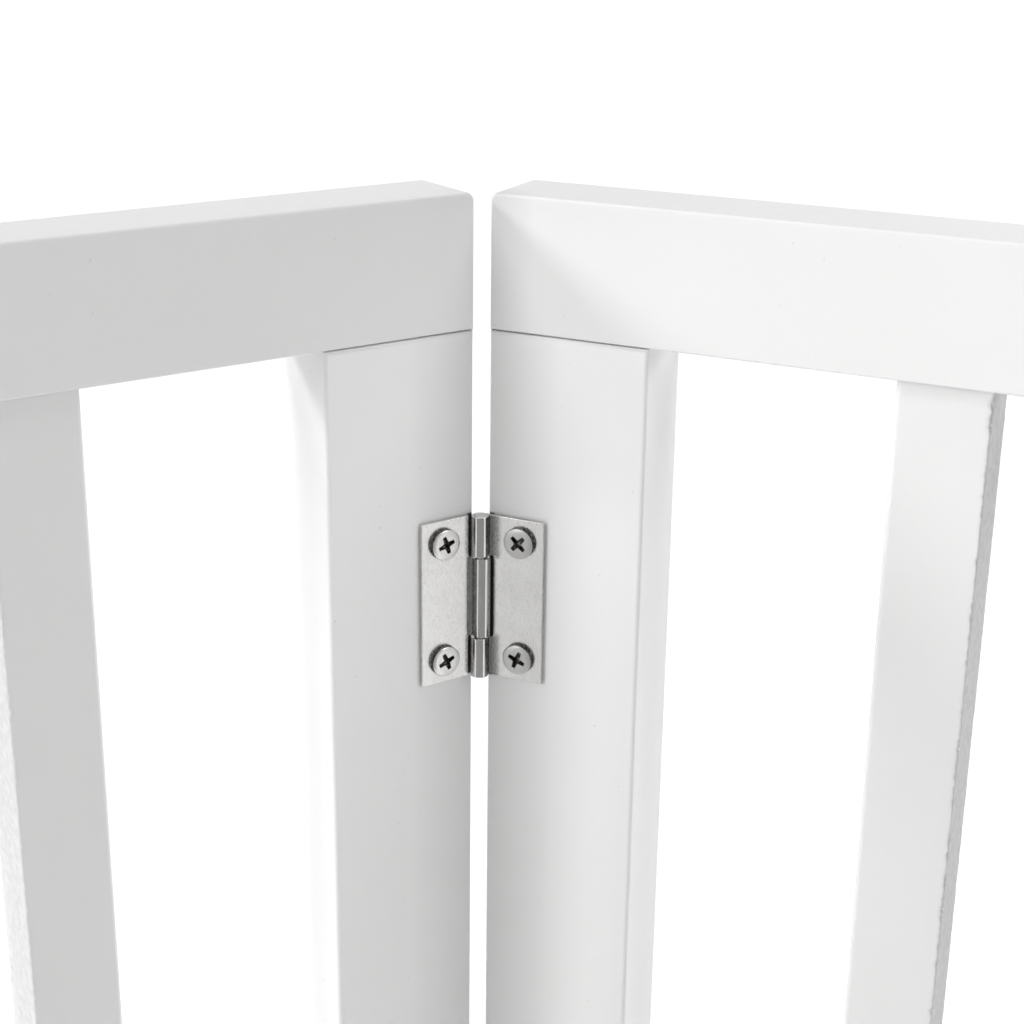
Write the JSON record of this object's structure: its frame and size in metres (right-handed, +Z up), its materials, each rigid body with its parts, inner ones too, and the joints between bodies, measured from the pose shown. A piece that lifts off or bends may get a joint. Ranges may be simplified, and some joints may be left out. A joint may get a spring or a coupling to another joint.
{
  "type": "pet gate",
  "caption": "Freestanding folding pet gate: slatted white-painted panels joined edge to edge by small steel butt hinges, standing open in a V.",
  "frame": {"origin": "on the floor, in the middle of the box round the gate as it stands open at 120 degrees", "axes": "+Z up; the V is mirrored about the plane x = 0, and its hollow side, with the hinges, faces -Y"},
  "size_m": [0.8394, 0.252, 0.61],
  "materials": {
    "white_paint": "satin white paint on fibreboard",
    "dowel_beech": "bare beech, glued",
    "hinge_steel": "satin-brushed nickel-plated steel",
    "screw_steel": "nickel-plated steel",
    "foot_rubber": "matt grey rubber"
  },
  "bodies": {
    "left_panel": {"left_top_rail": "white_paint", "left_bottom_rail": "white_paint", "left_hinge_stile": "white_paint", "left_outer_stile": "white_paint", "left_slat_1": "white_paint", "left_slat_2": "white_paint", "left_slat_3": "white_paint", "left_slat_4": "white_paint", "left_slat_5": "white_paint", "left_top_dowel_1": "dowel_beech", "left_top_dowel_2": "dowel_beech", "left_top_dowel_3": "dowel_beech", "left_top_dowel_4": "dowel_beech", "left_bottom_dowel_1": "dowel_beech", "left_bottom_dowel_2": "dowel_beech", "left_bottom_dowel_3": "dowel_beech", "left_bottom_dowel_4": "dowel_beech", "left_inner_foot": "foot_rubber", "left_outer_foot": "foot_rubber", "upper_hinge_left_leaf": "hinge_steel", "upper_hinge_left_screw_top": "screw_steel", "upper_hinge_left_screw_bottom": "screw_steel", "lower_hinge_left_leaf": "hinge_steel", "lower_hinge_left_screw_top": "screw_steel", "lower_hinge_left_screw_bottom": "screw_steel"},
    "right_panel": {"right_top_rail": "white_paint", "right_bottom_rail": "white_paint", "right_hinge_stile": "white_paint", "right_outer_stile": "white_paint", "right_slat_1": "white_paint", "right_slat_2": "white_paint", "right_slat_3": "white_paint", "right_slat_4": "white_paint", "right_slat_5": "white_paint", "right_top_dowel_1": "dowel_beech", "right_top_dowel_2": "dowel_beech", "right_top_dowel_3": "dowel_beech", "right_top_dowel_4": "dowel_beech", "right_bottom_dowel_1": "dowel_beech", "right_bottom_dowel_2": "dowel_beech", "right_bottom_dowel_3": "dowel_beech", "right_bottom_dowel_4": "dowel_beech", "right_inner_foot": "foot_rubber", "right_outer_foot": "foot_rubber", "upper_hinge_right_leaf": "hinge_steel", "upper_hinge_pin": "hinge_steel", "upper_hinge_right_screw_top": "screw_steel", "upper_hinge_right_screw_bottom": "screw_steel", "lower_hinge_right_leaf": "hinge_steel", "lower_hinge_pin": "hinge_steel", "lower_hinge_right_screw_top": "screw_steel", "lower_hinge_right_screw_bottom": "screw_steel"}
  },
  "joints": [
    {"name": "fold", "type": "hinge", "parent": "left_panel", "child": "right_panel", "pos_m": [0, 0.10794, 0.305], "axis": [0, 0, 1], "range_deg": [-120, 60]}
  ]
}
